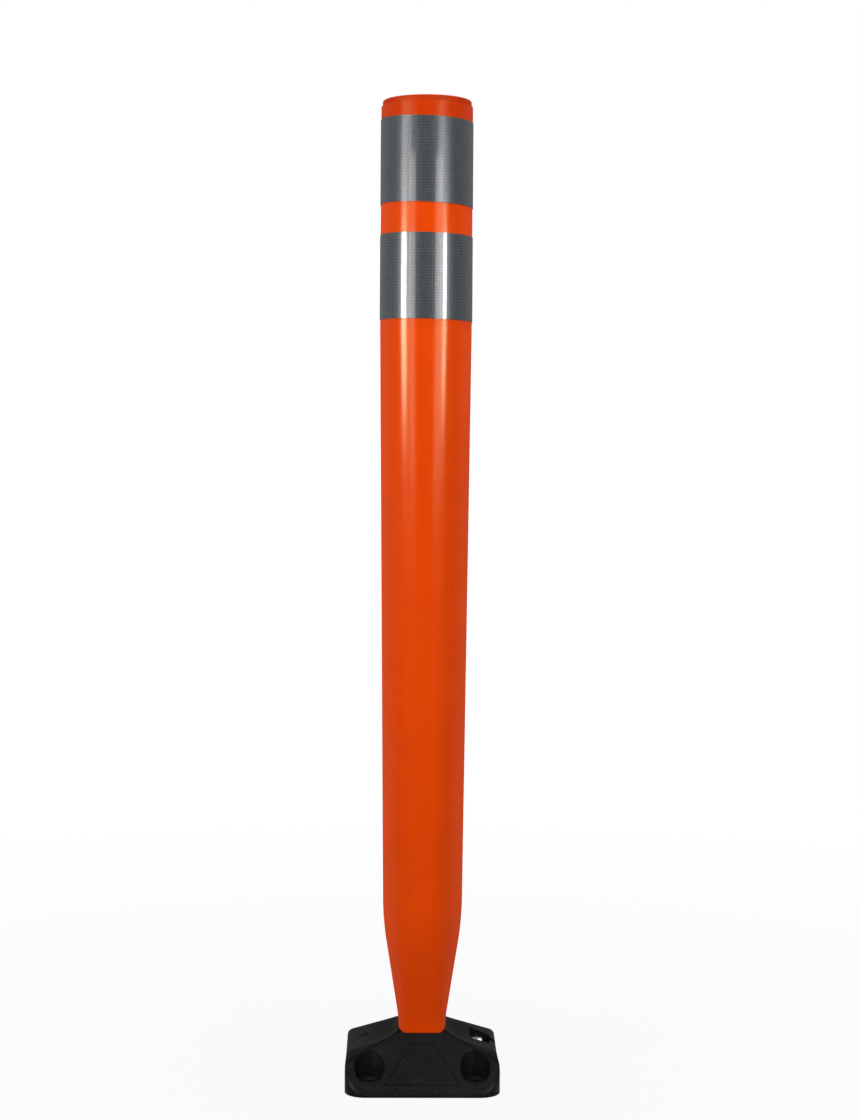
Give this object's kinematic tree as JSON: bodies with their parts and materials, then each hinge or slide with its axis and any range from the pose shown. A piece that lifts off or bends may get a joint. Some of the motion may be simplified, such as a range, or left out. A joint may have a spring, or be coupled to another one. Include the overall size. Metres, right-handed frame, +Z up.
{
  "type": "delineator post",
  "caption": "Flexible orange tubular marker post with two reflective bands, plugged into a small black rubber base that is anchored to the road.",
  "frame": {"origin": "centre of the base's underside, under the axis of the post", "axes": "+Z up along the post, +X to the right and +Y to the rear, seen from the front"},
  "size_m": [0.1354, 0.155, 0.874],
  "materials": {
    "post_orange": "glossy moulded flexible plastic",
    "cap_orange": "moulded plastic, a little duller than the tube",
    "sheeting": "prismatic reflective sheeting under a clear film",
    "base_rubber": "moulded black rubber with a fine grain",
    "core_grey": "moulded plastic insert",
    "washer_zinc": "steel with a dark zinc plating",
    "pin_steel": "plain turned steel",
    "clip_steel": "dark spring steel"
  },
  "bodies": {
    "base": {"base_block": "base_rubber", "washer_front_left": "washer_zinc", "washer_front_right": "washer_zinc", "washer_rear_left": "washer_zinc", "washer_rear_right": "washer_zinc", "foot_core": "core_grey", "cross_pin": "pin_steel", "retaining_clip": "clip_steel", "post_foot": "post_orange", "neck_lower": "post_orange"},
    "waist": {"neck_upper": "post_orange"},
    "post": {"post_tube": "post_orange", "top_cap": "cap_orange", "upper_band": "sheeting", "lower_band": "sheeting"}
  },
  "joints": [
    {"name": "bend_sideways", "type": "hinge", "parent": "base", "child": "waist", "pos_m": [0, 0, 0.067], "axis": [0, 1, 0], "range_deg": [-85, 85], "stiffness_Nm_per_rad": 40, "deforming": ["neck_lower"]},
    {"name": "bend_fore_aft", "type": "hinge", "parent": "waist", "child": "post", "pos_m": [0, 0, 0.108], "axis": [1, 0, 0], "range_deg": [-85, 85], "stiffness_Nm_per_rad": 40, "deforming": ["neck_upper"]}
  ]
}
